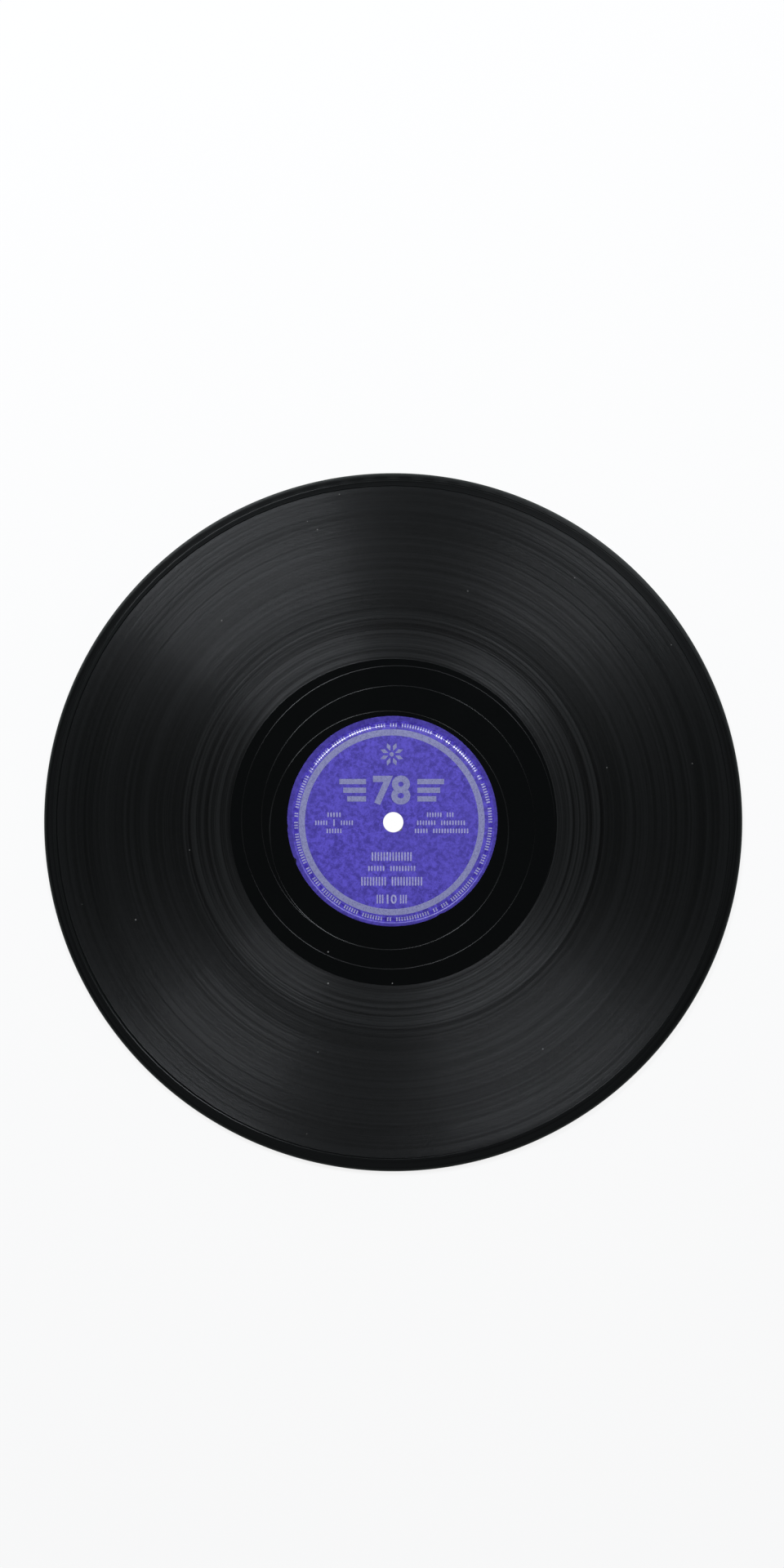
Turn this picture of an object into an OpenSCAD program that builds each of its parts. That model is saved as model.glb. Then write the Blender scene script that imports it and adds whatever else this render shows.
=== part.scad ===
// Ten-inch gramophone record: one pressed disc with a paper label pressed into each side.
// The disc lies on the plane z = 0 with its spindle hole on the Z axis and side A up.
// Seen from its own side, each side's grooves run inwards anticlockwise.

/* [Disc] */
// Diameter over the rounded edge
disc_d = 250.8; // [248:0.1:256]
// Thickness from land to land
disc_t = 2.2; // [1.9:0.05:3.2]
// Radius of the rounded edge
edge_r = 0.8; // [0.2:0.05:0.9]
// Diameter of the spindle hole
hole_d = 7.264; // [6.8:0.002:8]

/* [Recorded band] */
// Width of the plain rim outside the recorded band, with the rounded edge
rim_w = 4.7; // [3.5:0.1:8]
// Inner diameter of the recorded band
band_inner_d = 117.3; // [112:0.1:160]
// Mean depth of the recorded grooves below the land
band_depth = 0.03; // [0.01:0.01:0.06]

/* [Single grooves] */
// Width of a single groove at the land
groove_w = 0.26; // [0.1:0.01:0.5]
// Depth of a single groove
groove_depth = 0.06; // [0.03:0.01:0.2]
// Width of land between the rounded edge and the start of the lead-in groove
lead_in_land = 0.1; // [0.05:0.05:0.6]
// Direction in which the lead-in groove meets the band, in degrees
lead_in_end = 302; // [0:1:359]
// Fall in radius for each turn of the lead-out groove
lead_out_pitch = 7.2; // [5:0.1:9]
// How much wider the stopping groove is than the other single grooves
stop_extra_w = 0.06; // [0.04:0.01:0.3]
// How much deeper the stopping groove is than the other single grooves
stop_extra_depth = 0.03; // [0.02:0.01:0.1]
// Diameter of the stopping groove
stop_groove_d = 85.725; // [84:0.005:90]
// Distance from the hole to the centre of the stopping groove
stop_offset = 3.175; // [1:0.005:3.5]
// Direction from the hole to the centre of the stopping groove, in degrees
stop_direction = 242; // [0:1:359]

/* [Labels] */
// Diameter of a label
label_d = 75.6; // [74.6:0.1:77]
// Thickness of the label paper
label_t = 0.12; // [0.05:0.01:0.25]
// Depth of the label's face below the land
label_sink = 0.05; // [0:0.01:0.15]
// Distance by which a label was pressed off centre, to the left
label_shift_x = 0.3; // [0:0.05:0.5]
// Distance by which a label was pressed off centre, upwards
label_shift_y = 0.4; // [0:0.05:0.5]
// Clearance around the edge of a label in its seat
label_gap = 0.05; // [0.02:0.01:0.2]

/* [Pressed ring] */
// Mean distance from the edge of a label to the ring that the die presses into it
ring_margin = 1.45; // [1.2:0.05:2.5]
// Width of the pressed ring
ring_w = 1.85; // [1.7:0.05:3]
// Depth of the pressed ring below the label's face
ring_depth = 0.14; // [0.05:0.01:0.35]
// Width of each sloping wall of the pressed ring
ring_slope = 0.45; // [0.1:0.05:0.8]

/* [Hidden] */
$fn = 240;

disc_r = disc_d / 2;
band_outer_r = disc_r - rim_w;
band_inner_r = band_inner_d / 2;
// Greatest distance of the stopping groove from the hole, where the lead-out groove joins it
stop_r = stop_groove_d / 2 + stop_offset;
// Radius at which the lead-in groove starts. It falls to the band in one turn.
lead_in_r = disc_r - edge_r - lead_in_land - groove_w / 2;
seat_depth = label_sink + label_t;
// Radii of the pressed ring, which is round about the hole
ring_outer_r = label_d / 2 - ring_margin;
ring_inner_r = ring_outer_r - ring_w;
// Cutters start this far above the land
cut = 0.5;
// A last half turn that would be a smaller part than this is left out
least_part = 0.01;

// Section of a label's face or seat at the given height, from the Z axis outwards,
// with the pressed ring in it. Its last point lies well outside the label.
function sheet_line(face_z) = [
    [0, face_z],
    [ring_inner_r, face_z],
    [ring_inner_r + ring_slope, face_z - ring_depth],
    [ring_outer_r - ring_slope, face_z - ring_depth],
    [ring_outer_r, face_z],
    [label_d, face_z]
];

function reversed(points) = [for (i = [len(points) - 1 : -1 : 0]) points[i]];

// Places what is drawn with the land at z = 0 on the upper side
module on_side_a() {
    translate([0, 0, disc_t])
        children();
}

// The same on the lower side, turned over about the X axis
module on_side_b() {
    rotate([180, 0, 0])
        children();
}

// Half section of the disc with its rounded edge
module blank_section() {
    square([disc_r - edge_r, disc_t]);
    translate([0, edge_r])
        square([disc_r, disc_t - 2 * edge_r]);
    for (z = [edge_r, disc_t - edge_r])
        translate([disc_r - edge_r, z])
            circle(r = edge_r);
}

// Section of a groove of the given width at the land, with its point down
module groove_section(width, depth) {
    reach = width / 2 * (1 + cut / depth);
    polygon([[-reach, cut], [0, -depth], [reach, cut]]);
}

// Angle that a half turn of a spiral covers inside the limiting radius. The half turn
// ends at angle 0, and its centre lies behind the middle by half its fall in radius.
function half_turn_sweep(arc_r, half_fall, limit_r) =
    acos(max(-1, min(1,
        (pow(half_fall / 2, 2) + pow(arc_r, 2) - pow(limit_r, 2)) / (half_fall * arc_r))));

// Single groove that winds inwards in tangent half turns from limit_r to end_r,
// and arrives there in the direction end_angle
module winding_groove(end_r, end_angle, pitch, limit_r) {
    half_fall = pitch / 2;
    for (i = [0 : ceil((limit_r - end_r) / half_fall - least_part) - 1]) {
        arc_r = end_r + (i + 0.5) * half_fall;
        sweep = half_turn_sweep(arc_r, half_fall, limit_r);
        rotate([0, 0, end_angle + 180 * i])
            translate([-half_fall / 2, 0, 0])
                rotate([0, 0, -sweep])
                    rotate_extrude(angle = sweep)
                        translate([arc_r, 0])
                            groove_section(groove_w, groove_depth);
    }
}

// Closed groove off centre that moves the arm to and fro and trips the machine
module stop_groove() {
    rotate([0, 0, stop_direction])
        translate([stop_offset, 0, 0])
            rotate_extrude()
                translate([stop_groove_d / 2, 0])
                    groove_section(groove_w + stop_extra_w, groove_depth + stop_extra_depth);
}

// Shallow step of the recorded band
module band_step() {
    translate([0, 0, -band_depth])
        difference() {
            cylinder(r = band_outer_r, h = band_depth + cut);
            translate([0, 0, -cut])
                cylinder(r = band_inner_r, h = band_depth + 3 * cut);
        }
}

// Round area of a label, with a clearance around it
module label_area(clearance) {
    translate([-label_shift_x, label_shift_y, -disc_t])
        cylinder(d = label_d + 2 * clearance, h = 2 * disc_t);
}

// Seat that the label is pressed into
module label_seat() {
    intersection() {
        rotate_extrude()
            polygon(concat(sheet_line(-seat_depth), [[label_d, cut], [0, cut]]));
        label_area(label_gap);
    }
}

// Everything that one side's die forms
module side_relief() {
    band_step();
    label_seat();
    stop_groove();
    winding_groove(stop_r, stop_direction, lead_out_pitch, band_inner_r);
    winding_groove(band_outer_r, lead_in_end, lead_in_r - band_outer_r, lead_in_r);
}

// Spindle hole through whatever lies within the thickness of the disc, on either side of z = 0
module spindle_hole() {
    translate([0, 0, -disc_t - cut])
        cylinder(d = hole_d, h = 2 * (disc_t + cut));
}

// Paper label that follows the pressed ring
module label() {
    color("#4d42a5")
        difference() {
            intersection() {
                rotate_extrude()
                    polygon(concat(sheet_line(-seat_depth), reversed(sheet_line(-label_sink))));
                label_area(0);
            }
            spindle_hole();
        }
}

module disc() {
    color("#17181a")
        difference() {
            rotate_extrude()
                blank_section();
            spindle_hole();
            on_side_a() side_relief();
            on_side_b() side_relief();
        }
}

module label_side_a() {
    on_side_a() label();
}

module label_side_b() {
    on_side_b() label();
}

disc();
label_side_a();
label_side_b();
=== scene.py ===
import math

import bpy
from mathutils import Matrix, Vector, noise


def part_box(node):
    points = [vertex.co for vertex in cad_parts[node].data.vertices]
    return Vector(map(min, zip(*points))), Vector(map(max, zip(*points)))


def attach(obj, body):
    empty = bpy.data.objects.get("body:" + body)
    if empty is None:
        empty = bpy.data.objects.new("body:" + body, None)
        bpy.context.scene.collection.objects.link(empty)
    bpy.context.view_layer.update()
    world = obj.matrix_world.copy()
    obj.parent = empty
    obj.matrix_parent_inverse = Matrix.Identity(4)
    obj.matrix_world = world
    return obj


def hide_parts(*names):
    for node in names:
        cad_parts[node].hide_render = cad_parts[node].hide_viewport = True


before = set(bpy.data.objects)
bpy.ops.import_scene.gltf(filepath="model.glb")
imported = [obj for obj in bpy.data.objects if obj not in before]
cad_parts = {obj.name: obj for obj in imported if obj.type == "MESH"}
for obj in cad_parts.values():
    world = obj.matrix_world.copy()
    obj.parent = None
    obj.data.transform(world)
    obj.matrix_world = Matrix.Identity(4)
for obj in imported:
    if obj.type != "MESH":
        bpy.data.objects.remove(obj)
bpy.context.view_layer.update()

# Ten-inch gramophone record, seen from straight above side A.
# Lengths named in millimetres are turned into metres with MM.
MM = 0.001

# Sizes taken from the frame, in metres
disc_low, disc_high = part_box("disc")
DISC_R = disc_high.x
DISC_T = disc_high.z - disc_low.z
label_low, label_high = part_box("label_side_a")
LABEL_R = (label_high.x - label_low.x) / 2
LABEL_X = (label_high.x + label_low.x) / 2
LABEL_Y = (label_high.y + label_low.y) / 2
LABEL_FACE = label_high.z - DISC_T

# Disc
HOLE_R = 3.632 * MM
EDGE_R = 0.8 * MM
EDGE_STEPS = 5
RIM_COUNT = 360
COLUMNS = 90
COLUMN_ANGLE = 2 * math.pi / COLUMNS

# Spiral groove. It starts in the direction START, winds in anticlockwise as seen
# from its own side, and each stage lasts a number of columns.
START = math.radians(350)
BAND_OUTER_R = 120.7 * MM
LEAD_IN_FALL = 3.7 * MM
LEAD_IN_BEND = 0.31
LEAD_IN_COLUMNS = 78
BAND_TURNS = 235
BAND_COLUMNS = BAND_TURNS * COLUMNS + 7
LEAD_OUT_COLUMNS = 158
LEAD_OUT_PITCH = 7.2 * MM
GROOVE_COLUMNS = LEAD_IN_COLUMNS + BAND_COLUMNS + LEAD_OUT_COLUMNS
RAMP_COLUMNS = 4
WIDENING_COLUMNS = 24
IN_SLOPE = 0.415
OUT_SLOPE = 0.335
LINE_SLOPE = 0.375
LINE_W = 0.34 * MM
LEAST_WALL = 0.004 * MM
SHOULDER_DROP = 0.09 * MM

# Loud and quiet passages of the band, in which the walls differ: distance from the
# axis, width and strength
PASSAGES = ((117 * MM, 4 * MM, 0.5), (73 * MM, 3 * MM, 0.5), (79.5 * MM, 3 * MM, -0.45))
PASSAGE_STEEPENING = -0.06
PASSAGE_OUTWARD = -0.05
# The walls that face outwards get steeper from this distance inwards
STEEPER_R = 100 * MM
STEEPER_LENGTH = 40 * MM
STEEPER_STRENGTH = 0.08

# Streaks in the band: strength, waves a turn and shift of the noise
STREAKS = ((0.10, 0.09, 0), (0.32, 0.23, 5), (0.65, 0.5, 9), (0.2, 0.95, 13))
NOISE_START = {"a": 3.7, "b": 41.3}
# Their strength in the outer and the inner part of the band, which blend from
# STREAK_R inwards
STREAK_OUTER = 0.7
STREAK_INNER = 1.6
STREAK_R = 78 * MM
STREAK_BLEND = 4 * MM
# A streak flattens the walls by this share of what it would steepen them by
FLATTENING = 0.3
# Share of a turn at which a streak starts to change, and over which it changes
CHANGE_START = 0.45
CHANGE_SHARE = 0.1
# Large soft patches on top of the streaks
PATCH_STRENGTH = 0.05
PATCH_WAVES = 0.05 / MM

# Closed stopping groove, off centre
STOP_R = 85.725 / 2 * MM
STOP_OFFSET = 3.175 * MM
STOP_ANGLE = math.radians(242)
STOP_EXTRA_W = 0.06 * MM

# Label and its seat
SEAT_COUNT = 2 * COLUMNS
LABEL_COUNT = 360
LABEL_T = 0.12 * MM
SEAT_GAP = 0.05 * MM
RING_INNER_R = 34.5 * MM
RING_OUTER_R = 36.35 * MM
RING_DEPTH = 0.14 * MM
RING_SLOPE = 0.45 * MM
RING_FILLET = 0.2
RING_STEPS = 8

# Wear. Directions and widths are in degrees.
CHIP_DEPTH = {"a": 0.5 * MM, "b": 0.1 * MM}
CHIP_DIRECTION = -45
CHIP_WIDTH = 12
# Nicks in the edge of the paper: direction, width and depth
NICKS = {
    "a": ((182, 1.0, 0.25 * MM), (201, 1.1, 0.7 * MM), (297, 1.6, 0.35 * MM)),
    "b": ((75, 1.2, 0.3 * MM), (250, 1.0, 0.2 * MM)),
}
EDGE_WANDER = 0.03 * MM
EDGE_WAVES = 9
EDGE_NOISE_START = 2.0

# Print on the label
INK_T = 0.012 * MM
PRINT_X = -0.55 * MM
PRINT_Y = 0.0
SILVER_INNER_R = 31.15 * MM
SILVER_OUTER_R = 33.4 * MM

# Bars at both sides of the large figures, in millimetres from the middle of the print
WING_LENGTHS = (9.6, 8.2, 6.8)
WING_START = 9.2
WING_TOP = 14.6
WING_PITCH = 3.1
WING_HEIGHT = 1.9

# Rows of beads, in millimetres from the middle of the print: x, y, length, height and
# the number of beads in each group
BEAD_ROWS = (
    (-25.3, -0.2, 4.8, 1.8, (5,)),
    (-16.1, -0.2, 4.8, 1.8, (5,)),
    (-20.7, 2.7, 5.3, 1.8, (5,)),
    (-20.7, -3.1, 5.8, 1.8, (6,)),
    (17.4, 2.7, 10.0, 1.8, (6, 3)),
    (17.7, -0.2, 17.7, 1.8, (7, 9)),
    (17.9, -3.1, 19.7, 1.8, (5, 13)),
    (0, -12.3, 14.9, 3.3, (14,)),
    (0, -16.6, 17.4, 2.0, (6, 9)),
    (0, -21.2, 22.4, 3.3, (9, 11)),
    (-4.2, -27.6, 2.9, 3.3, (3,)),
    (4.2, -27.6, 2.9, 3.3, (3,)),
)
# Width of a bead and gap between groups, in pitches, and height of a bead's point, in
# widths of the bead
BEAD_SHARE = 0.52
GROUP_GAP = 1.5
BEAD_POINT = 0.4

# Fine bars round the edge of the label. The gap between groups is in pitches.
BAR_INNER_R = 34.2 * MM
BAR_LENGTH = 1.35 * MM
BAR_HALF_W = 0.25 * MM
BAR_STEPS = 10
BAR_START = math.radians(100)
BAR_GROUPS = (4, 3, 12, 3, 2, 13, 2, 8, 6, 9) * 3
BAR_GAP = 1.4


def smooth(x):
    """Smooth step from 0 to 1."""
    x = max(0.0, min(1.0, x))
    return x * x * (3 - 2 * x)


def bump(x, centre, width):
    """Soft hump of height 1."""
    return math.exp(-((x - centre) / width) ** 2)


def wave(x, y, z=0.0):
    """Repeatable soft noise from about -1 to 1."""
    return noise.noise(Vector((x, y, z)))


def off_centre(radius, offset, direction, angle):
    """Distance from the axis, along a direction, to a circle that lies off centre."""
    turn = angle - direction
    return offset * math.cos(turn) + math.sqrt(radius ** 2 - (offset * math.sin(turn)) ** 2)


class Shape:
    """Points and faces of a mesh. A point is given as seen from its own side of the
    record, with its height above that side's land. Faces run anticlockwise."""

    def __init__(self):
        self.points = []
        self.faces = []
        self.creases = set()

    def point(self, side, x, y, height):
        if side == "a":
            self.points.append((x, y, DISC_T + height))
        else:
            self.points.append((x, -y, -height))
        return len(self.points) - 1

    def polar(self, side, radius, angle, height):
        return self.point(side, radius * math.cos(angle), radius * math.sin(angle), height)

    def ring(self, side, count, radius, height):
        """Ring of points. The radius may be a function of the angle."""
        points = []
        for k in range(count):
            angle = START + 2 * math.pi * k / count
            distance = radius(angle) if callable(radius) else radius
            points.append(self.polar(side, distance, angle, height))
        return points

    def face(self, *corners):
        """Face without the corners that follow an equal one."""
        kept = [c for i, c in enumerate(corners) if c != corners[i - 1]]
        if len(kept) > 2:
            self.faces.append(kept)

    def strip(self, outer, inner):
        """Band of faces between two rings of as many points."""
        count = len(outer)
        for k in range(count):
            n = (k + 1) % count
            self.face(outer[k], outer[n], inner[n], inner[k])

    def plate(self, side, outline, base, top):
        """Flat solid on an outline that runs anticlockwise."""
        upper = [self.point(side, x, y, top) for x, y in outline]
        lower = [self.point(side, x, y, base) for x, y in outline]
        self.face(*upper)
        self.face(*reversed(lower))
        self.strip(lower, upper)

    def crease(self, line):
        """Keeps a line of points a sharp edge, however low the step across it is."""
        self.creases.update(frozenset(pair) for pair in zip(line, line[1:]))

    def piece(self, name, material, slot, sharp):
        """The mesh as a Blender object that rides on the record."""
        mesh = bpy.data.meshes.new(name)
        mesh.from_pydata(self.points, [], self.faces)
        mesh.validate()
        mesh.shade_smooth()
        mesh.set_sharp_from_angle(angle=math.radians(sharp))
        for edge in mesh.edges:
            if frozenset(edge.vertices) in self.creases:
                edge.use_edge_sharp = True
        mesh.materials.append(material)
        piece = bpy.data.objects.new(name, mesh)
        bpy.context.scene.collection.objects.link(piece)
        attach(piece, "root")
        return piece


def partner(count, k):
    """Point of a ring on side B that lies under point k of the same ring on side A."""
    return (round(-START / math.pi * count) - k) % count


def under(ring_b):
    """Ring of side B in the order in which it lies under the same ring of side A."""
    return [ring_b[partner(len(ring_b), k)] for k in range(len(ring_b))]


# Columns, radii and pitch of the spiral groove, worked out from the values above
BAND_START = LEAD_IN_COLUMNS
BAND_END = LEAD_IN_COLUMNS + BAND_COLUMNS
LEAD_OUT_FALL = LEAD_OUT_PITCH * LEAD_OUT_COLUMNS / COLUMNS
GROOVE_END_R = STOP_R + STOP_OFFSET
BAND_INNER_R = GROOVE_END_R + LEAD_OUT_FALL
BAND_PITCH = (BAND_OUTER_R - BAND_INNER_R) * COLUMNS / BAND_COLUMNS


def groove_radius(m):
    """Radius of the middle of the groove at column m."""
    if m < BAND_START:
        left = 1 - m / BAND_START
        return BAND_OUTER_R + LEAD_IN_FALL * (left * (1 - LEAD_IN_BEND) + left ** 2 * LEAD_IN_BEND)
    if m < BAND_END:
        return BAND_OUTER_R - BAND_PITCH * (m - BAND_START) / COLUMNS
    return BAND_INNER_R - LEAD_OUT_PITCH * (m - BAND_END) / COLUMNS


def groove_width(m):
    """Width of the groove, which fills the pitch in the band and is wider outside it."""
    outside = max(BAND_START - m, m - BAND_END) / WIDENING_COLUMNS
    return BAND_PITCH + (LINE_W - BAND_PITCH) * smooth(outside)


def land(radius):
    """Height of the plain surface at a radius. The rim falls off a little to the edge."""
    out = max(0.0, radius - BAND_OUTER_R) / (DISC_R - EDGE_R - BAND_OUTER_R)
    return -SHOULDER_DROP * out ** 2


def steady(turn):
    """Number of turns that grows in steps, which makes a streak run round in a circle."""
    whole = math.floor(turn)
    return whole + smooth((turn - whole - CHANGE_START) / CHANGE_SHARE)


def wall_slopes(side, m, radius):
    """Slopes of the groove's two walls, of which the first faces the middle and the
    second outwards. Loud and quiet passages make them vary in streaks."""
    seed = NOISE_START[side]
    angle = START + m * COLUMN_ANGLE
    spread = PATCH_WAVES * radius
    patch = PATCH_STRENGTH * wave(spread * math.cos(angle), spread * math.sin(angle), seed)
    if m < BAND_START or m > BAND_END:
        return LINE_SLOPE * (1 + patch), LINE_SLOPE * (1 + patch)
    turn = steady(m / COLUMNS)
    streak = sum(strength * wave(turn * waves, seed + shift) for strength, waves, shift in STREAKS)
    inside = smooth((STREAK_R - radius) / STREAK_BLEND)
    streak = max(streak, FLATTENING * streak) * (STREAK_OUTER + (STREAK_INNER - STREAK_OUTER) * inside)
    passage = sum(strength * bump(radius, at, width) for at, width, strength in PASSAGES)
    change = 1 + PASSAGE_STEEPENING * passage + streak + patch
    steeper = STEEPER_STRENGTH * smooth((STEEPER_R - radius) / STEEPER_LENGTH)
    return IN_SLOPE * change, OUT_SLOPE * (change + PASSAGE_OUTWARD * passage + steeper)


def stop_ring(shape, side, shift, height):
    """Ring of the stopping groove, moved out by shift."""
    return shape.ring(
        side, COLUMNS, lambda a: off_centre(STOP_R + shift, STOP_OFFSET, STOP_ANGLE, a), height
    )


def groove_lines(shape, side):
    """Outer edge, root and inner edge of the spiral groove, one point a column each."""
    stop_half = (LINE_W + STOP_EXTRA_W) / 2
    outer, root, inner = [], [], []
    for m in range(GROOVE_COLUMNS + 1):
        angle = START + m * COLUMN_ANGLE
        middle = groove_radius(m)
        width = groove_width(m)
        inward, outward = wall_slopes(side, m, middle)
        bottom = middle + width / 2 - width * outward / (inward + outward)
        edges = [middle + width / 2, bottom, middle - width / 2]
        if m > BAND_END:
            limit = off_centre(STOP_R + stop_half, STOP_OFFSET, STOP_ANGLE, angle)
            edges = [max(e, limit + LEAST_WALL * (3 - i)) for i, e in enumerate(edges)]
        depth = min((edges[0] - edges[1]) * inward, (edges[1] - edges[2]) * outward)
        depth *= smooth(m / RAMP_COLUMNS)
        outer.append(shape.polar(side, edges[0], angle, land(edges[0])))
        root.append(shape.polar(side, edges[1], angle, land(edges[1]) - depth))
        inner.append(None if BAND_START <= m <= BAND_END - COLUMNS
                     else shape.polar(side, edges[2], angle, land(edges[2])))
    for m in range(BAND_START, BAND_END - COLUMNS + 1):
        inner[m] = outer[m + COLUMNS]
    return outer, root, inner


def spiral(shape, side, rim_ring, stop_edge):
    """Spiral groove and the land beside it, from the rim to the stopping groove."""
    outer, root, inner = groove_lines(shape, side)
    for line in (outer, root, inner):
        shape.crease(line)
    share = RIM_COUNT // COLUMNS
    last = GROOVE_COLUMNS
    for j in range(COLUMNS - 1):
        rim = [rim_ring[share * j + i] for i in range(share + 1)]
        shape.face(*rim, outer[j + 1], outer[j])
    rim = [rim_ring[(share * (COLUMNS - 1) + i) % RIM_COUNT] for i in range(share + 1)]
    shape.face(*rim, outer[0], root[0], inner[0], outer[COLUMNS], outer[COLUMNS - 1])
    for m in range(last):
        shape.face(outer[m], outer[m + 1], root[m + 1], root[m])
        shape.face(root[m], root[m + 1], inner[m + 1], inner[m])
    for m in range(last - COLUMNS):
        shape.face(inner[m], inner[m + 1], outer[m + COLUMNS + 1], outer[m + COLUMNS])
    for m in range(last - COLUMNS, last):
        here, after = stop_edge[m % COLUMNS], stop_edge[(m + 1) % COLUMNS]
        if m == last - COLUMNS:
            end = (inner[last], root[last], outer[last])
            shape.face(inner[m], inner[m + 1], after, here, *end)
        else:
            shape.face(inner[m], inner[m + 1], after, here)


def slant(x):
    """Straight slope from 0 to 1 whose ends are rounded by the fillets."""
    x = max(0.0, min(1.0, x))
    if x > 0.5:
        return 1 - slant(1 - x)
    if x < RING_FILLET:
        return x * x / (2 * RING_FILLET * (1 - RING_FILLET))
    return (x - RING_FILLET / 2) / (1 - RING_FILLET)


def channel(radius):
    """Height of the pressed ring, which lies in the seat and in the label, at a radius."""
    inner_wall = slant((radius - RING_INNER_R) / RING_SLOPE)
    outer_wall = slant((RING_OUTER_R - radius) / RING_SLOPE)
    return -RING_DEPTH * min(inner_wall, outer_wall)


def channel_radii():
    """Radii of the rings that draw the pressed ring, from the outside in."""
    outer = [RING_OUTER_R - RING_SLOPE * i / RING_STEPS for i in range(RING_STEPS + 1)]
    inner = [RING_INNER_R + RING_SLOPE * i / RING_STEPS for i in range(RING_STEPS, -1, -1)]
    return outer + inner


def label_edge(clearance):
    """Edge of the label area as a function of the angle."""
    offset = math.hypot(LABEL_X, LABEL_Y)
    direction = math.atan2(LABEL_Y, LABEL_X)
    return lambda a: off_centre(LABEL_R + clearance, offset, direction, a)


def near(angle, degrees, width):
    """Hump round a direction, both in degrees."""
    away = (math.degrees(angle) - degrees + 180) % 360 - 180
    return bump(away, 0, width)


def hole_edge(side):
    """Edge of the hole with a small chip, which is larger on side A."""
    return lambda a: HOLE_R + CHIP_DEPTH[side] * near(a, CHIP_DIRECTION, CHIP_WIDTH)


def torn_edge(side):
    """Edge of the paper, slightly uneven and with a few small nicks."""
    round_edge = label_edge(0)

    def edge(angle):
        x, y = EDGE_WAVES * math.cos(angle), EDGE_WAVES * math.sin(angle)
        uneven = EDGE_WANDER * (1 + wave(x, y, EDGE_NOISE_START))
        torn = sum(depth * near(angle, at, width) for at, width, depth in NICKS[side])
        return round_edge(angle) - uneven - torn

    return edge


def disc_side(shape, side):
    """Everything on one side of the disc. Returns its lowest rim ring and its bore ring."""
    rim = []
    for i in range(EDGE_STEPS + 1):
        turn = math.pi / 2 * i / EDGE_STEPS
        radius = DISC_R - EDGE_R + EDGE_R * math.sin(turn)
        drop = SHOULDER_DROP + (EDGE_R - SHOULDER_DROP) * (1 - math.cos(turn))
        rim.append(shape.ring(side, RIM_COUNT, radius, -drop))
    for i in range(EDGE_STEPS):
        shape.strip(rim[i + 1], rim[i])
    half = (LINE_W + STOP_EXTRA_W) / 2
    stop_outer = stop_ring(shape, side, half, 0)
    stop_root = stop_ring(shape, side, 0, -half * LINE_SLOPE)
    stop_inner = stop_ring(shape, side, -half, 0)
    spiral(shape, side, rim[0], stop_outer)
    shape.strip(stop_outer, stop_root)
    shape.strip(stop_root, stop_inner)
    seat_edge = shape.ring(side, SEAT_COUNT, label_edge(SEAT_GAP), 0)
    for j in range(COLUMNS):
        seat = [seat_edge[(2 * j + i) % SEAT_COUNT] for i in (2, 1, 0)]
        shape.face(stop_inner[j], stop_inner[(j + 1) % COLUMNS], *seat)
    seat_height = LABEL_FACE - LABEL_T
    rings = [seat_edge, shape.ring(side, SEAT_COUNT, label_edge(SEAT_GAP), seat_height)]
    for radius in channel_radii():
        rings.append(shape.ring(side, SEAT_COUNT, radius, seat_height + channel(radius)))
    rings.append(shape.ring(side, SEAT_COUNT, hole_edge(side), seat_height))
    for i in range(len(rings) - 1):
        shape.strip(rings[i], rings[i + 1])
    return rim[-1], rings[-1]


def make_disc(material):
    shape = Shape()
    rim_a, bore_a = disc_side(shape, "a")
    rim_b, bore_b = disc_side(shape, "b")
    shape.strip(under(rim_b), rim_a)
    shape.strip(bore_a, under(bore_b))
    piece = shape.piece("pressed_disc", material, "shellac", 20)
    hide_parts("disc")


def make_label(side, material):
    """Paper label that follows the pressed ring of its seat."""
    shape = Shape()
    flat_radii = [30 * MM, 22 * MM, 14 * MM, 8 * MM, 4.5 * MM]
    rings = {}
    for layer, face_height in (("face", LABEL_FACE), ("back", LABEL_FACE - LABEL_T)):
        rings[layer] = [shape.ring(side, LABEL_COUNT, torn_edge(side), face_height)]
        for radius in channel_radii() + flat_radii:
            height = face_height + channel(radius)
            rings[layer].append(shape.ring(side, LABEL_COUNT, radius, height))
        rings[layer].append(shape.ring(side, LABEL_COUNT, hole_edge(side), face_height))
    count = len(rings["face"])
    for i in range(count - 1):
        shape.strip(rings["face"][i], rings["face"][i + 1])
        shape.strip(rings["back"][i + 1], rings["back"][i])
    shape.strip(rings["back"][0], rings["face"][0])
    shape.strip(rings["face"][-1], rings["back"][-1])
    piece = shape.piece("paper_label_" + side, material, "label_paper", 30)
    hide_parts("label_side_" + side)


def ink_plate(shape, side, points):
    """Printed shape, its outline given in millimetres from the middle of the print."""
    outline = [(PRINT_X + x * MM, PRINT_Y + y * MM) for x, y in points]
    shape.plate(side, outline, LABEL_FACE, LABEL_FACE + INK_T)


def rule(shape, side, x, y, width, height):
    """Printed bar, centred at x, y."""
    w, h = width / 2, height / 2
    ink_plate(shape, side, [(x - w, y - h), (x + w, y - h), (x + w, y + h), (x - w, y + h)])


def bead(shape, side, x, y, width, height):
    """Printed upright bead with pointed ends, centred at x, y."""
    w, h = width / 2, height / 2
    shoulder = h - BEAD_POINT * width
    ink_plate(shape, side, [(x - w, y - shoulder), (x, y - h), (x + w, y - shoulder),
                            (x + w, y + shoulder), (x, y + h), (x - w, y + shoulder)])


def bead_row(shape, side, x, y, length, height, groups):
    """Row of groups of beads, centred at x, y."""
    pitch = length / (sum(groups) + GROUP_GAP * (len(groups) - 1))
    at = x - length / 2 + pitch / 2
    for count in groups:
        for _ in range(count):
            bead(shape, side, at, y, BEAD_SHARE * pitch, height)
            at += pitch
        at += GROUP_GAP * pitch


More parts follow.
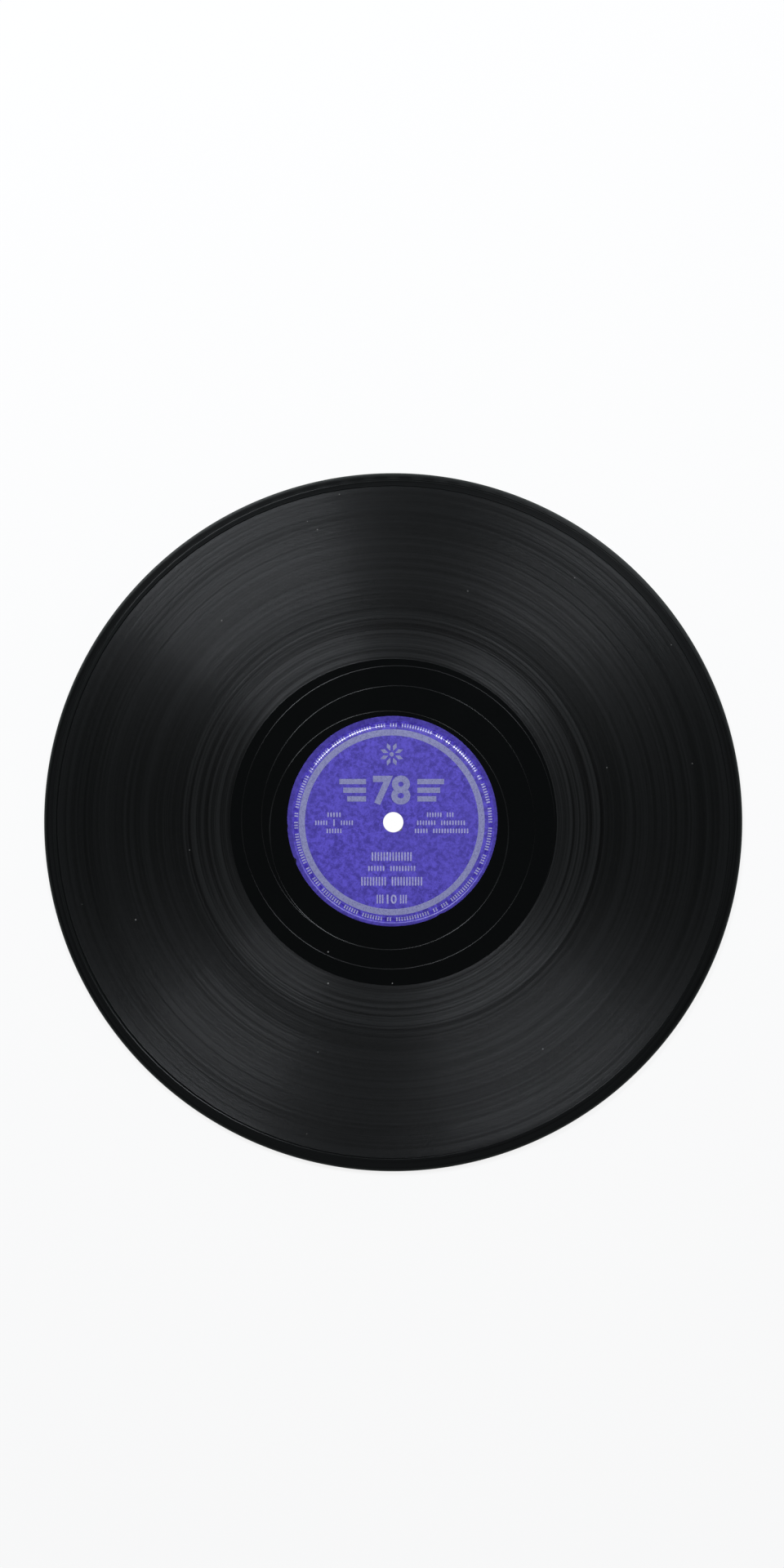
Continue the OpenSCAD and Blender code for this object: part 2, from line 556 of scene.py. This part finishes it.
def rosette(shape, side, x, y, petals, radius):
    """Printed rosette of pointed petals round a small dot."""
    foot, belly, half_width = 0.3, 0.66, 0.17
    dot_r, dot_corners = 0.8, 12
    for i in range(petals):
        turn = 2 * math.pi * (i + 0.5) / petals
        petal = []
        for along, across in ((foot, 0), (belly, -half_width), (1, 0), (belly, half_width)):
            px = radius * (along * math.cos(turn) - across * math.sin(turn))
            py = radius * (along * math.sin(turn) + across * math.cos(turn))
            petal.append((x + px, y + py))
        ink_plate(shape, side, petal)
    dot = [2 * math.pi * i / dot_corners for i in range(dot_corners)]
    ink_plate(shape, side, [(x + dot_r * math.cos(a), y + dot_r * math.sin(a)) for a in dot])


def numerals(shape, side, digits, x, y, height, weight):
    """Printed figures, centred at x, y and of the given height, in millimetres."""
    half_depth = 0.5
    curve = bpy.data.curves.new("figures", "FONT")
    curve.body = digits
    curve.extrude = half_depth
    curve.offset = weight
    curve.resolution_u = 4
    writer = bpy.data.objects.new("figures", curve)
    mesh = bpy.data.meshes.new_from_object(writer)
    xs = [v.co.x for v in mesh.vertices]
    ys = [v.co.y for v in mesh.vertices]
    scale = height / (max(ys) - min(ys))
    middle_x, middle_y = (max(xs) + min(xs)) / 2, (max(ys) + min(ys)) / 2
    first = len(shape.points)
    for v in mesh.vertices:
        px = PRINT_X + (x + (v.co.x - middle_x) * scale) * MM
        py = PRINT_Y + (y + (v.co.y - middle_y) * scale) * MM
        shape.point(side, px, py, LABEL_FACE + (v.co.z + half_depth) * INK_T)
    for polygon in mesh.polygons:
        shape.face(*[first + i for i in polygon.vertices])
    bpy.data.objects.remove(writer)
    bpy.data.curves.remove(curve)
    bpy.data.meshes.remove(mesh)


def make_marks(side, material):
    """Ornament and large figures printed on the flat of the label."""
    shape = Shape()
    rosette(shape, side, x=0, y=24.4, petals=8, radius=4.4)
    numerals(shape, side, "78", x=0, y=11.5, height=10.6, weight=0.035)
    for way in (-1, 1):
        for row, length in enumerate(WING_LENGTHS):
            x, y = way * (WING_START + length / 2), WING_TOP - row * WING_PITCH
            rule(shape, side, x, y, length, WING_HEIGHT)
    shape.piece("label_marks_" + side, material, "label_paper", 30)


def make_small_marks(side, material):
    """Small figures and rows of beads printed on the flat of the label."""
    shape = Shape()
    numerals(shape, side, "1" if side == "a" else "2", x=-20.7, y=-0.2, height=2.4, weight=0.03)
    numerals(shape, side, "10", x=0, y=-27.6, height=3.3, weight=0.02)
    for row in BEAD_ROWS:
        bead_row(shape, side, *row)
    shape.piece("small_marks_" + side, material, "label_paper", 30)


def make_silver_ring(side, material):
    """Printed ring inside the pressed one."""
    shape = Shape()
    rings = []
    for radius, height in (
        (SILVER_OUTER_R, LABEL_FACE),
        (SILVER_OUTER_R, LABEL_FACE + INK_T),
        (SILVER_INNER_R, LABEL_FACE + INK_T),
        (SILVER_INNER_R, LABEL_FACE),
    ):
        ring = []
        for k in range(LABEL_COUNT):
            angle = 2 * math.pi * k / LABEL_COUNT
            x = PRINT_X + radius * math.cos(angle)
            y = PRINT_Y + radius * math.sin(angle)
            ring.append(shape.point(side, x, y, height))
        rings.append(ring)
    for i in range(4):
        shape.strip(rings[i], rings[(i + 1) % 4])
    shape.piece("printed_ring_" + side, material, "label_paper", 30)


def make_rim_bars(side, material):
    """Groups of fine bars round the edge, which run down into the pressed ring."""
    shape = Shape()
    places = sum(BAR_GROUPS) + BAR_GAP * len(BAR_GROUPS)
    place = 0.0
    for bars in BAR_GROUPS:
        for _ in range(bars):
            rim_bar(shape, side, BAR_START - 2 * math.pi * place / places)
            place += 1
        place += BAR_GAP
    shape.piece("rim_marks_" + side, material, "label_paper", 30)


def rim_bar(shape, side, angle):
    """Printed bar that lies on the label along a radius, pressed ring and all."""
    sections = []
    for i in range(BAR_STEPS + 1):
        radius = BAR_INNER_R + BAR_LENGTH * i / BAR_STEPS
        height = LABEL_FACE + channel(radius)
        corners = []
        for across, lift in ((BAR_HALF_W, 0), (BAR_HALF_W, INK_T), (-BAR_HALF_W, INK_T), (-BAR_HALF_W, 0)):
            x = radius * math.cos(angle) - across * math.sin(angle)
            y = radius * math.sin(angle) + across * math.cos(angle)
            corners.append(shape.point(side, x, y, height + lift))
        sections.append(corners)
    for i in range(BAR_STEPS):
        shape.strip(sections[i], sections[i + 1])
    shape.face(*reversed(sections[0]))
    shape.face(*sections[-1])


class Nodes:
    """Small helper that adds and links shader nodes."""

    def __init__(self, tree):
        self.tree = tree

    def add(self, kind, **settings):
        node = self.tree.nodes.new(kind)
        for name, value in settings.items():
            setattr(node, name, value)
        return node

    def feed(self, target, value):
        """Puts a number, a colour or another node's output into a socket."""
        if isinstance(value, bpy.types.NodeSocket):
            self.tree.links.new(value, target)
        else:
            target.default_value = value

    def math(self, operation, *values):
        node = self.add("ShaderNodeMath", operation=operation)
        for i, value in enumerate(values):
            self.feed(node.inputs[i], value)
        return node.outputs[0]

    def ramp(self, value, low, high, to_low=0.0, to_high=1.0, kind="SMOOTHSTEP"):
        node = self.add("ShaderNodeMapRange", interpolation_type=kind)
        for name, v in (("Value", value), ("From Min", low), ("From Max", high),
                        ("To Min", to_low), ("To Max", to_high)):
            self.feed(node.inputs[name], v)
        return node.outputs[0]

    def mix(self, factor, first, second):
        node = self.add("ShaderNodeMix", data_type="RGBA")
        self.feed(node.inputs["Factor"], factor)
        self.feed(node.inputs[6], first)
        self.feed(node.inputs[7], second)
        return node.outputs[2]

    def blend(self, factor, first, second):
        """Mix of two numbers."""
        node = self.add("ShaderNodeMix", data_type="FLOAT")
        for i, value in ((0, factor), (2, first), (3, second)):
            self.feed(node.inputs[i], value)
        return node.outputs[0]

    def noise(self, vector, scale, detail=2.0, roughness=0.5, distortion=0.0):
        node = self.add("ShaderNodeTexNoise")
        self.feed(node.inputs["Vector"], vector)
        for name, v in (("Scale", scale), ("Detail", detail), ("Roughness", roughness),
                        ("Distortion", distortion)):
            self.feed(node.inputs[name], v)
        return node.outputs["Fac"]

    def hump(self, value, centre, width):
        """Soft hump of height 1."""
        away = self.math("DIVIDE", self.math("SUBTRACT", value, centre), width)
        return self.math("EXPONENT", self.math("MULTIPLY", self.math("MULTIPLY", away, away), -1.0))

    def place(self):
        """Point of the surface in metres, in the frame of the record."""
        return self.add("ShaderNodeTexCoord").outputs["Object"]

    def coordinates(self, place):
        """X, Y and Z of a point, and its distance from the axis."""
        parts = self.add("ShaderNodeSeparateXYZ")
        self.feed(parts.inputs[0], place)
        x, y, z = parts.outputs
        squares = [self.math("POWER", value, 2.0) for value in (x, y)]
        return x, y, z, self.math("SQRT", self.math("ADD", *squares))


def new_material(name):
    """Material with a Principled shader, and the helper for its nodes."""
    material = bpy.data.materials.new(name)
    material.use_nodes = True
    nodes = Nodes(material.node_tree)
    shader = material.node_tree.nodes["Principled BSDF"]
    return material, nodes, shader


def colour(red, green, blue):
    """Colour written as it looks on screen, from 0 to 255."""
    def linear(c):
        c = c / 255
        return c / 12.92 if c <= 0.04045 else ((c + 0.055) / 1.055) ** 2.4
    return (linear(red), linear(green), linear(blue), 1.0)


# Base colours of the pressed compound, as light from 0 to 1, the darker one first
LAND_TONES = ((0.0022, 0.0026, 0.0026, 1), (0.0033, 0.0038, 0.0039, 1))
# Rim colours, inner first: the rim is paler from scuffing, and its lightening towards the edge is partly a
# painted reflection of the rounded edge
RIM_TONES_AND_REFLECTION = ((0.0040, 0.0049, 0.0046, 1), (0.0070, 0.0082, 0.0078, 1))
RIM_MOTTLE = (0.0060, 0.0070, 0.0066, 1)
# Grey of the outermost rounded edge: partly edge wear, partly a painted highlight where the edge catches
# the light
EDGE_WEAR_AND_HIGHLIGHT = (0.030, 0.034, 0.031, 1)
# Groove-wall colours of the outer and inner tracks, dull and bright: their streaks are partly wear and
# partly painted sheen
OUTER_TRACK_TONES_AND_SHEEN = ((0.0025, 0.0029, 0.0028, 1), (0.0072, 0.0078, 0.0079, 1))
INNER_TRACK_TONES_AND_SHEEN = ((0.0004, 0.0006, 0.0006, 1), (0.0135, 0.0143, 0.0144, 1))
DUST = (0.22, 0.22, 0.21, 1)

# Roughness of the compound, what the scuffed and the quiet zone add to it and what polish
# takes off it. Where there are two values, it goes from one to the other.
LAND_ROUGH = (0.10, 0.16)
SCUFFED_ROUGH = 0.26
WALL_ROUGH = (0.44, 0.365)
QUIET_ROUGH = 0.02
LONE_POLISH = 0.11
STREAK_POLISH = (0.030, 0.090)
DUST_ROUGH = 0.8

# Zones of the compound: distances from the axis, widths and, for two of them, added wear and painted sheen
SCUFFED_BLEND = 0.6 * MM
WALL_ZONE = (58 * MM, 118 * MM)
INNER_ZONE = (75.5 * MM, 76.5 * MM)
QUIET_R, QUIET_W, QUIET_WEAR_AND_SHEEN = 80 * MM, 4 * MM, -0.4
LOUD_R, LOUD_W, LOUD_WEAR_AND_SHEEN = 120 * MM, 3 * MM, 0.5


def groove_walls(n, z, radius):
    """Where the surface lies below the land, apart from the rounded edge."""
    depth = n.math("SUBTRACT", DISC_T / 2, n.math("ABSOLUTE", n.math("SUBTRACT", z, DISC_T / 2)))
    flat_r = DISC_R - EDGE_R
    out = n.math("MAXIMUM", n.math("SUBTRACT", radius, BAND_OUTER_R), 0.0)
    out = n.math("DIVIDE", out, flat_r - BAND_OUTER_R)
    fall = n.math("MULTIPLY", n.math("MULTIPLY", out, out), SHOULDER_DROP)
    below = n.ramp(n.math("SUBTRACT", depth, fall), low=0.001 * MM, high=0.005 * MM)
    inside = n.ramp(radius, flat_r - 0.15 * MM, flat_r - 0.05 * MM, to_low=1.0, to_high=0.0)
    return n.math("MULTIPLY", below, inside)


def track_noise(n, x, y, radius):
    """Noise of the passages and of the grooves, which runs round with the grooves."""
    drift = 0.005
    track = n.add("ShaderNodeCombineXYZ")
    n.feed(track.inputs["X"], radius)
    n.feed(track.inputs["Y"], n.math("MULTIPLY", x, drift))
    n.feed(track.inputs["Z"], n.math("MULTIPLY", y, drift))
    passages = n.noise(track.outputs[0], scale=420, detail=3.0, roughness=0.7)
    grooves = n.noise(track.outputs[0], scale=1250, detail=2.0, roughness=0.6)
    return passages, grooves


def stretched(n, value):
    """Noise stretched so that it runs from 0 to 1 nearly everywhere."""
    return n.ramp(value, 0.42, 0.58, kind="LINEAR")


def dust(n, place):
    """Small specks, one in some of the cells."""
    cells = n.add("ShaderNodeTexVoronoi")
    n.feed(cells.inputs["Vector"], place)
    n.feed(cells.inputs["Scale"], 260.0)
    pick = n.add("ShaderNodeSeparateColor")
    n.feed(pick.inputs[0], cells.outputs["Color"])
    chosen = n.ramp(pick.outputs[0], 0.91, 0.92)
    size = n.ramp(pick.outputs[1], 0.8, 1.0, to_low=0.045, to_high=0.08)
    return n.math("MULTIPLY", n.math("LESS_THAN", cells.outputs["Distance"], size), chosen)


def land_tone(n, place, radius, scuffed):
    """Colour of the plain surface, paler on the scuffed rim, lighter towards the edge and grey at its
    outermost part, partly from wear and partly as a painted reflection and highlight of the rounded edge.
    """
    fine = n.noise(place, scale=900, detail=3.0, roughness=0.6)
    # Lighter towards the edge: partly scuffing, partly a painted reflection of the rounded edge
    out = n.ramp(radius, DISC_R - 2.2 * MM, DISC_R - 0.4 * MM)
    rim = n.mix(fine, n.mix(out, *RIM_TONES_AND_REFLECTION), RIM_MOTTLE)
    # The outermost part of the rounded edge turns grey: partly edge wear, partly a painted highlight of
    # the edge
    edge_wear_and_highlight = n.ramp(radius, DISC_R - 0.75 * MM, DISC_R - 0.3 * MM)
    return n.mix(edge_wear_and_highlight, n.mix(scuffed, n.mix(fine, *LAND_TONES), rim), EDGE_WEAR_AND_HIGHLIGHT)


def shellac():
    """Black pressed compound: glossy land, satin groove walls, a little dust."""
    material, n, shader = new_material("shellac")
    place = n.place()
    x, y, z, radius = n.coordinates(place)
    wall = groove_walls(n, z, radius)
    passages, grooves = track_noise(n, x, y, radius)
    scuffed = n.ramp(radius, BAND_OUTER_R, BAND_OUTER_R + SCUFFED_BLEND)
    inner = n.ramp(radius, *INNER_ZONE, to_low=1.0, to_high=0.0)
    quiet = n.hump(radius, QUIET_R, QUIET_W)
    loud = n.hump(radius, LOUD_R, LOUD_W)

    cloud = n.noise(place, scale=60, detail=4.0, roughness=0.6, distortion=0.4)
    land_rough = n.ramp(cloud, 0.3, 0.7, *LAND_ROUGH)
    land_rough = n.math("ADD", land_rough, n.math("MULTIPLY", scuffed, SCUFFED_ROUGH))
    lone = n.ramp(radius, BAND_INNER_R - 0.3 * MM, BAND_INNER_R, to_low=1.0, to_high=0.0)
    lone = n.math("MAXIMUM", lone, scuffed)
    polish = n.math("MULTIPLY", n.math("SUBTRACT", stretched(n, grooves), 0.5),
                    n.ramp(inner, 0.0, 1.0, *STREAK_POLISH))
    wall_rough = n.ramp(radius, *WALL_ZONE, *WALL_ROUGH, kind="LINEAR")
    wall_rough = n.math("ADD", wall_rough, n.math("MULTIPLY", quiet, QUIET_ROUGH))
    wall_rough = n.math("SUBTRACT", wall_rough, n.math("MULTIPLY", lone, LONE_POLISH))
    wall_rough = n.math("SUBTRACT", wall_rough, polish)
    rough = n.blend(wall, land_rough, wall_rough)

    # Streaks in the groove walls' colour: partly wear, partly painted sheen; the loud ring is lighter and
    # the quiet ring darker, also painted sheen
    streak = n.math("ADD", n.math("MULTIPLY", passages, 0.5), n.math("MULTIPLY", grooves, 0.5))
    tone_shift = n.math("ADD", stretched(n, streak), n.math("MULTIPLY", loud, LOUD_WEAR_AND_SHEEN))
    tone_shift = n.math("ADD", tone_shift, n.math("MULTIPLY", quiet, QUIET_WEAR_AND_SHEEN))
    tone_shift = n.math("MAXIMUM", tone_shift, 0.0)
    dull, bright = [n.mix(inner, *pair) for pair in zip(OUTER_TRACK_TONES_AND_SHEEN, INNER_TRACK_TONES_AND_SHEEN)]
    tone = n.mix(wall, land_tone(n, place, radius, scuffed), n.mix(tone_shift, dull, bright))

    speck = dust(n, place)
    n.feed(shader.inputs["Base Color"], n.mix(speck, tone, DUST))
    rough = n.math("MAXIMUM", rough, n.math("MULTIPLY", speck, DUST_ROUGH))
    n.feed(shader.inputs["Roughness"], rough)
    shader.inputs["IOR"].default_value = 1.5
    shader.inputs["Specular IOR Level"].default_value = 0.178
    shader.inputs["Anisotropic"].default_value = 0.45
    shader.inputs["Anisotropic Rotation"].default_value = 0.25
    around = n.add("ShaderNodeTangent", direction_type="RADIAL", axis="Z")
    n.feed(shader.inputs["Tangent"], around.outputs[0])
    return material


# Colours of the paper and roughness of its surface
PAPER_TONES = (colour(54, 38, 146), colour(93, 78, 206))
PAPER_CLOUD = colour(80, 68, 178)
PAPER_EDGE = colour(52, 42, 124)
MATT = (0.42, 0.52)
SMOOTHED = (0.16, 0.24)


def label_paper():
    """Blue-violet paper with a mottled, fibrous surface, smoothed in the pressed ring."""
    material, n, shader = new_material("label_paper")
    place = n.place()
    radius = n.coordinates(place)[3]
    blotch = n.noise(place, scale=640, detail=4.0, roughness=0.6, distortion=0.4)
    fibre = n.noise(place, scale=2600, detail=3.0, roughness=0.65, distortion=1.2)
    cloud = n.noise(place, scale=60)
    mottle = n.math("ADD", n.math("MULTIPLY", blotch, 0.6), n.math("MULTIPLY", fibre, 0.4))
    tone = n.mix(n.ramp(mottle, 0.38, 0.62), *PAPER_TONES)
    tone = n.mix(n.ramp(cloud, 0.35, 0.65, to_high=0.25), tone, PAPER_CLOUD)
    tone_shift = n.ramp(radius, RING_OUTER_R - 0.2 * MM, RING_OUTER_R + 0.4 * MM, to_high=0.5)
    n.feed(shader.inputs["Base Color"], n.mix(tone_shift, tone, PAPER_EDGE))

    outer_wall_r = RING_OUTER_R - RING_SLOPE
    smoothed = n.ramp(radius, RING_INNER_R - 0.2 * MM, RING_INNER_R)
    outer_wall = n.ramp(radius, outer_wall_r - 0.3 * MM, outer_wall_r, to_low=1.0, to_high=0.4)
    smoothed = n.math("MULTIPLY", smoothed, outer_wall)
    matt, glossy = [n.ramp(fibre, 0.3, 0.7, *rough) for rough in (MATT, SMOOTHED)]
    n.feed(shader.inputs["Roughness"], n.blend(smoothed, matt, glossy))
    shader.inputs["Specular IOR Level"].default_value = 0.6

    surface = n.add("ShaderNodeBump")
    surface.inputs["Strength"].default_value = 0.25
    surface.inputs["Distance"].default_value = 0.02 * MM
    n.feed(surface.inputs["Height"], mottle)
    n.feed(shader.inputs["Normal"], surface.outputs[0])
    return material


def printed_ink(name, dark, light, roughness):
    """Metallic ink that lets a little of the paper through."""
    material, n, shader = new_material(name)
    place = n.place()
    fibre = n.noise(place, scale=1500, detail=3.0, roughness=0.65, distortion=1.0)
    thin = n.noise(place, scale=300, detail=3.0, roughness=0.6)
    tone = n.mix(n.ramp(fibre, 0.35, 0.65), dark, light)
    tone = n.mix(n.ramp(thin, 0.55, 0.75, to_high=0.3), tone, colour(118, 112, 190))
    n.feed(shader.inputs["Base Color"], tone)
    n.feed(shader.inputs["Roughness"], n.ramp(fibre, 0.3, 0.7, *roughness))
    shader.inputs["Metallic"].default_value = 0.25
    return material


def make_record():
    black = shellac()
    paper = label_paper()
    silver = printed_ink("silver_ink", colour(145, 145, 193), colour(164, 165, 210), (0.26, 0.36))
    pale = printed_ink("pale_ink", colour(170, 167, 220), colour(198, 196, 244), (0.20, 0.28))
    make_disc(black)
    for side in ("a", "b"):
        make_label(side, paper)
        make_silver_ring(side, silver)
        make_marks(side, silver)
        make_small_marks(side, pale)
        make_rim_bars(side, pale)


LAMP_DISTANCE = 1.2
LAMP_HEIGHT = 0.22
LAMP_COLOUR = (0.95, 0.99, 1.05)


def softbox(name, azimuth, elevation, power, width):
    """Oblong lamp that faces the middle of the record."""
    lamp = bpy.data.lights.new(name, "AREA")
    lamp.shape = "RECTANGLE"
    lamp.size = width
    lamp.size_y = LAMP_HEIGHT
    lamp.energy = power
    lamp.color = LAMP_COLOUR
    holder = bpy.data.objects.new(name, lamp)
    a, e = math.radians(azimuth), math.radians(elevation)
    away = Vector((math.cos(a) * math.cos(e), math.sin(a) * math.cos(e), math.sin(e)))
    holder.location = away * LAMP_DISTANCE
    holder.rotation_euler = away.to_track_quat("Z", "Y").to_euler()
    holder.visible_camera = False
    bpy.context.scene.collection.objects.link(holder)


def make_world():
    """White near the horizon and darker above, which the gloss mirrors."""
    world = bpy.data.worlds.new("studio")
    bpy.context.scene.world = world
    world.use_nodes = True
    n = Nodes(world.node_tree)
    way = n.add("ShaderNodeSeparateXYZ")
    n.feed(way.inputs[0], n.add("ShaderNodeTexCoord").outputs["Generated"])
    low, high = math.sin(math.radians(8)), math.sin(math.radians(16))
    strength = n.ramp(way.outputs["Z"], low, high, to_low=1.0, to_high=0.06)
    back = world.node_tree.nodes["Background"]
    back.inputs["Color"].default_value = (1.0, 1.0, 1.0, 1.0)
    n.feed(back.inputs["Strength"], strength)


def make_floor():
    """White floor that keeps the shadow of the record and shows white all round."""
    half = 60.0
    shade = 0.14
    mesh = bpy.data.meshes.new("floor")
    z = -0.05 * MM
    corners = [(-half, -half, z), (half, -half, z), (half, half, z), (-half, half, z)]
    mesh.from_pydata(corners, [], [(0, 1, 2, 3)])
    floor = bpy.data.objects.new("floor", mesh)
    bpy.context.scene.collection.objects.link(floor)
    material, n, shader = new_material("floor")
    shader.inputs["Base Color"].default_value = (0.9, 0.9, 0.9, 1.0)
    shader.inputs["Roughness"].default_value = 1.0
    shader.inputs["Specular IOR Level"].default_value = 0.0
    light = n.add("ShaderNodeEmission")
    light.inputs["Strength"].default_value = 1.0
    rays = n.add("ShaderNodeLightPath")
    seen = n.math("MAXIMUM", rays.outputs["Is Camera Ray"], rays.outputs["Is Glossy Ray"])
    seen = n.math("MAXIMUM", seen, rays.outputs["Is Transmission Ray"])
    distance = n.add("ShaderNodeVectorMath", operation="LENGTH")
    n.feed(distance.inputs[0], n.place())
    outside_hole = n.ramp(distance.outputs["Value"], 0.02, 0.12)
    close_by = n.ramp(distance.outputs["Value"], 0.25, 0.9, to_low=1.0, to_high=0.0)
    shaded = n.math("MULTIPLY", n.math("MULTIPLY", outside_hole, close_by), shade)
    share = n.math("SUBTRACT", 1.0, shaded)
    blend = n.add("ShaderNodeMixShader")
    n.feed(blend.inputs[0], n.math("MULTIPLY", seen, share))
    n.feed(blend.inputs[1], shader.outputs[0])
    n.feed(blend.inputs[2], light.outputs[0])
    n.feed(material.node_tree.nodes["Material Output"].inputs["Surface"], blend.outputs[0])
    mesh.materials.append(material)


def make_camera():
    """Camera straight above, framed as the photograph is: 960 by 1920 pixels,
    with the middle of the record at pixel 481.5, 1006.83."""
    pixel = 0.29317 * MM
    image_w, image_h = 960, 1920
    middle_x, middle_y = 481.5, 1006.83
    distance = 1.5
    camera = bpy.data.cameras.new("camera")
    camera.sensor_width = 36.0
    camera.lens = camera.sensor_width * distance / (image_h * pixel)
    holder = bpy.data.objects.new("camera", camera)
    holder.location = ((image_w / 2 - middle_x) * pixel, (middle_y - image_h / 2) * pixel,
                       DISC_T + distance)
    bpy.context.scene.collection.objects.link(holder)
    bpy.context.scene.camera = holder


make_record()
make_world()
make_floor()
softbox("softbox_left", azimuth=121.8, elevation=47.4, power=8.65, width=0.62)
softbox("softbox_right", azimuth=51.75, elevation=55.6, power=5.6, width=0.35)
make_camera()
bpy.context.scene.view_settings.view_transform = "Standard"
